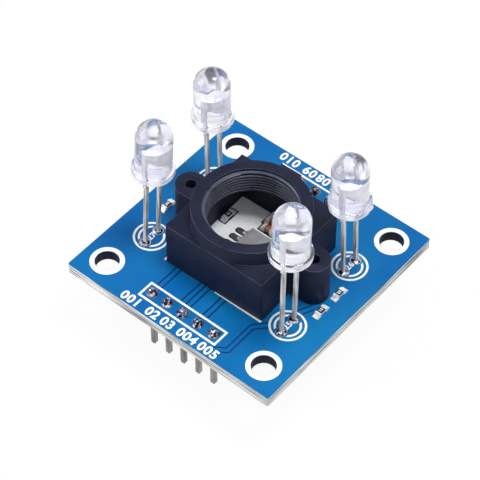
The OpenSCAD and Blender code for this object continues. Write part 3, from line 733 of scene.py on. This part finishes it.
# %% Lens holder
HOLDER_SOFT = 0.07 * MM
THREAD_RADIUS = 6.0 * MM
LEDGE_WITHIN = THREAD_RADIUS + 0.4 * MM
LEDGE_LOW = 10.53 * MM
LEDGE_HIGH = 10.72 * MM
LEDGE_HIGHLIGHT_INDEX = 2
holder = rounded_copy("lens_holder", "holder", HOLDER, HOLDER_SOFT, edge_finish=HOLDER_EDGE_HIGHLIGHT)
holder.data.materials.append(THREAD_HIGHLIGHT)
for face in holder.data.polygons:
    off_axis = math.hypot(face.center.x - lens_x, face.center.y - lens_y)
    if off_axis < LEDGE_WITHIN and LEDGE_LOW < face.center.z < LEDGE_HIGH:
        face.material_index = LEDGE_HIGHLIGHT_INDEX
finish_piece(holder, "holder", "lens_holder")
print("holder:", len(holder.data.polygons), "faces")

# %% [markdown]
# The lens thread is a ridge that climbs half a millimetre with each turn. Stacked rings would look
# much the same from above, but a thread is a spiral, and a spiral is no harder to make. Geometry
# Nodes sweep a small round section along one. Half of the ridge sinks into the bore's wall.

# %% Lens thread
SPIRAL_STEPS = 72
RIDGE_SIDES = 8
THREAD_LOW = 7.2 * MM


def thread_tree():
    """A round ridge along a spiral."""
    tree, start, end = new_group("thread_ridge", "GeometryNodeTree", [
        ("Radius", "INPUT", "Float"), ("Pitch", "INPUT", "Float"), ("Turns", "INPUT", "Float"),
        ("Ridge", "INPUT", "Float"), ("Finish", "INPUT", "Material"),
        ("Geometry", "OUTPUT", "Geometry"),
    ])
    height = put(tree, "ShaderNodeMath", {0: start.outputs["Pitch"], 1: start.outputs["Turns"]},
                 operation="MULTIPLY")
    spiral = put(tree, "GeometryNodeCurveSpiral",
                 {"Resolution": SPIRAL_STEPS, "Rotations": start.outputs["Turns"],
                  "Start Radius": start.outputs["Radius"], "End Radius": start.outputs["Radius"],
                  "Height": height.outputs[0]})
    section = put(tree, "GeometryNodeCurvePrimitiveCircle",
                  {"Resolution": RIDGE_SIDES, "Radius": start.outputs["Ridge"]})
    swept = put(tree, "GeometryNodeCurveToMesh",
                {"Curve": spiral.outputs[0], "Profile Curve": section.outputs[0],
                 "Fill Caps": True})
    end_tree(tree, swept.outputs[0], start, end)
    return tree


thread = run_tree(new_object("lens_thread", bpy.data.meshes.new("lens_thread")), thread_tree(),
                  {"Radius": THREAD_RADIUS, "Pitch": 0.5 * MM, "Turns": 6.6, "Ridge": 0.14 * MM,
                   "Finish": THREAD_HIGHLIGHT})
thread.data.transform(Matrix.Translation((lens_x, lens_y, THREAD_LOW)))
finish_piece(thread, "holder")
print("thread:", len(thread.data.polygons), "faces")

# %% [markdown]
# The clear body of an LED is cast round its metal: a flange with soft edges, a straight wall and a
# round dome. Clear plastic shows every flat facet, so the CAD's own mesh is too coarse for it. The
# body is turned instead: half of its section is drawn as a line of points, and spun round the Z
# axis in many steps. The spin can turn a shape inside out, so its normals are set again.

# %% Turned LED body
FLANGE_R = 2.8 * MM
FLANGE_H = 1.0 * MM
FLANGE_SOFT = 0.15 * MM
BODY_R = 2.4 * MM
BODY_H = 8.5 * MM
FOOT_HOLLOW = 0.05 * MM
ROOT_OUT = 0.02 * MM  # how far the wall flares out just above the flange
DOME_STEPS = 18
SPIN_STEPS = 64
SEAM_WITHIN = 0.0001 * MM


def arc(centre_r, centre_z, radius, first, last, steps):
    """Points of an arc from one angle in degrees to another."""
    angles = [math.radians(first + (last - first) * step / steps) for step in range(steps + 1)]
    return [(centre_r + radius * math.cos(a), centre_z + radius * math.sin(a)) for a in angles]


def led_profile():
    """Half section of the body, from the middle of its foot up to the top of the dome."""
    rim = FLANGE_R - FLANGE_SOFT
    dome = BODY_H - BODY_R
    return [
        (0, FOOT_HOLLOW), (FLANGE_R - 4 * FLANGE_SOFT, 0.0),
        *arc(rim, FLANGE_SOFT, FLANGE_SOFT, -90, 0, 4),
        *arc(rim, FLANGE_H - FLANGE_SOFT, FLANGE_SOFT, 0, 90, 4),
        (BODY_R + FLANGE_SOFT, FLANGE_H), (BODY_R + ROOT_OUT, FLANGE_H + FLANGE_SOFT),
        (BODY_R, FLANGE_H + 3 * FLANGE_SOFT), (BODY_R, (FLANGE_H + dome) / 2),
        *arc(0, dome, BODY_R, 0, 90, DOME_STEPS)[:-1], (0, BODY_H),
    ]


def turned(name, profile):
    """A closed solid of revolution round the Z axis."""
    shape = bmesh.new()
    verts = [shape.verts.new((r, 0, z)) for r, z in profile]
    edges = [shape.edges.new(pair) for pair in zip(verts, verts[1:])]
    bmesh.ops.spin(shape, geom=verts + edges, cent=(0, 0, 0), axis=(0, 0, 1),
                   angle=2 * math.pi, steps=SPIN_STEPS)
    bmesh.ops.remove_doubles(shape, verts=shape.verts, dist=SEAM_WITHIN)
    bmesh.ops.recalc_face_normals(shape, faces=shape.faces)
    for face in shape.faces:
        face.smooth = True
    return mesh_from(name, shape)


print("LED profile:", len(led_profile()), "points")

# %% [markdown]
# The four LEDs stand at their own heights and lean a little, as hand-soldered ones do. One body
# could be copied four times with an object's own rotation, but the finished objects stay at the
# origin, so the height and the lean go into each mesh. Both are the CAD's own, with the lean about
# the middle of the board's thickness, so the metal inside stays in its place. The flange has a
# flat on one side.

# %% LED bodies
FLANGE_LOW = 13.0 * MM
FLAT_OUT = 0.05 * MM  # how far the flat stands outside the round wall
FLAT_UP_TO = FLANGE_H + 0.01 * MM
LED_RISES = {"front": 0.9, "right": -0.9, "left": -0.2, "back": -0.9}  # millimetres
LED_LEANS = {  # degrees about X and about Y
    "front": (-0.26, 0.3), "right": (1.3, -1.5), "left": (-1.6, 2.0), "back": (0.3, -0.4),
}


def flange_height(place):
    """The height of the flange's underside, before the lean."""
    return TOP + FLANGE_LOW + LED_RISES[place] * MM


def lean(place):
    """The matrix that stands an LED's own frame on the board, as the CAD does."""
    side_x, side_y = LED_SIDES[place]
    about_x, about_y = (math.radians(angle) for angle in LED_LEANS[place])
    foot = Matrix.Translation((side_x * LED_X, side_y * LED_Y, TOP / 2))
    turn = Matrix.Rotation(about_y, 4, "Y") @ Matrix.Rotation(about_x, 4, "X")
    return foot @ turn @ Matrix.Translation((0, 0, -TOP / 2))


for place in LED_SIDES:
    body = turned("led_" + place + "_clear", led_profile())
    for vert in body.data.vertices:
        if vert.co.z < FLAT_UP_TO:
            vert.co.y = min(vert.co.y, BODY_R + FLAT_OUT)
    body.data.transform(Matrix.Translation((0, 0, flange_height(place))))
    body.data.transform(lean(place))
    body.data.materials.append(EPOXY)
    finish_piece(body, "led_clear", "led_" + place + "_body")
print("LED bodies:", len(LED_SIDES))

# %% [markdown]
# A chip resistor is a slab of white alumina with a black glaze on its top and over its upper
# edges. Two solids could make it, but the glaze is only a few microns thick. So it is one slab in
# glaze, and its upright sides get the white. A tiny plain number is printed on the glaze.

# %% Chip resistors
RESISTORS = 4
SLAB_SOFT = 0.05 * MM
MARK_HEIGHT = 0.4 * MM
UPRIGHT = 0.1  # a face whose normal rises less than this is a side
for count in range(1, RESISTORS + 1):
    name = "resistor_" + str(count)
    slab = rounded_copy(name + "_body", name, GLAZE, SLAB_SOFT, segments=1)
    slab.data.materials.append(ALUMINA)
    for face in slab.data.polygons:
        if abs(face.normal.z) < UPRIGHT:
            face.material_index = 1
    finish_piece(slab, "resistor", name + "_body")
    low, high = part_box(name + "_body")
    mark = number(str(10 * count), (low.x + high.x) / 2, (low.y + high.y) / 2, MARK_HEIGHT, 90)
    mark.data.transform(Matrix.Translation((0, 0, high.z - TOP - INK_THICKNESS / 2)))
    mark.data.materials.append(INK)
    mark.name = name + "_mark"
    finish_piece(mark, "print")
print("resistors:", RESISTORS)

# %% [markdown]
# The header strips are moulded, the screws are pressed and the capacitors' bodies are fired, so
# none of them has a knife edge. They keep the CAD's form and get a bevel of a few hundredths of a
# millimetre, narrow enough for such small pieces.

# %% Softened small pieces
SOFTENED = {  # finish, and width of the bevel in millimetres
    "header_strip_near": (STRIP, 0.08), "header_strip_far": (STRIP, 0.08),
    "holder_screw_left": (SCREW, 0.05), "holder_screw_right": (SCREW, 0.05),
    "capacitor_small_body": (CERAMIC, 0.05), "capacitor_large_body": (CERAMIC, 0.06),
}
for name, (finish, width) in SOFTENED.items():
    soft = rounded_copy(name, name + "_soft", finish, width * MM)
    finish_piece(soft, slot_of[name], name)
print("softened:", len(SOFTENED))

# %% [markdown]
# The other solids keep their CAD form and only take a finish, by the slot that the record gives
# them. Three kinds need a second one. A pin is coated by its joint above the board. A leg's frame
# inside the clear plastic is silvered and painted brighter, as painted light. The lands of the pin
# rows are painted dark navy, as a painted reflection. Cutting these solids in two would add seams,
# so the faces past a height or a distance get the second finish.

# %% Remaining nodes
ROW_Y = 12 * MM
FINISH_OF_SLOT = {
    "print": INK, "tin": TIN, "solder": SOLDER_WITH_REFLECTION, "pin": PIN, "led_metal": LEG, "led_chip": PHOSPHOR,
    "sensor_metal": LEG, "sensor_chip": DIE, "sensor_clear": SENSOR_CLEAR, "chip_metal": CHIP_END,
}


def second_finish(name):
    """A node's second finish and a test for the places that take it, or None."""
    if slot_of[name] == "pin":
        return SOLDER_WITH_REFLECTION, lambda at: at.z > TOP
    if slot_of[name] == "led_metal":
        inside = flange_height(name.split("_")[1])
        # Painted light: inside the epoxy the leg takes the brighter frame finish.
        return FRAME_METAL_LIT, lambda at: at.z > inside
    if name == "tinned_pads":
        # Painted reflection: the pin rows' lands take the dark row finish.
        return ROW_TIN_REFLECTION, lambda at: abs(at.y) > ROW_Y
    return None


shown = [name for name, node in nodes.items() if not node.hide_render]
for name in shown:
    mesh = nodes[name].data
    mesh.materials.clear()
    mesh.materials.append(CHIP_END if name == "chip_solder" else FINISH_OF_SLOT[slot_of[name]])
    second = second_finish(name)
    if second:
        finish, takes_it = second
        mesh.materials.append(finish)
        for face in mesh.polygons:
            if takes_it(face.center):
                face.material_index = 1
print("CAD nodes shown:", len(shown))

# %% [markdown]
# Last, how much the dressed model's box grows over the CAD model's box is printed, to see that
# the looks stay inside the module's real size.

# %% Sizes and finish
low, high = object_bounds()
growth = [round((a - b) / MM, 3) for a, b in zip(high - low, cad_high - cad_low)]
print("box grows by", growth, "mm")
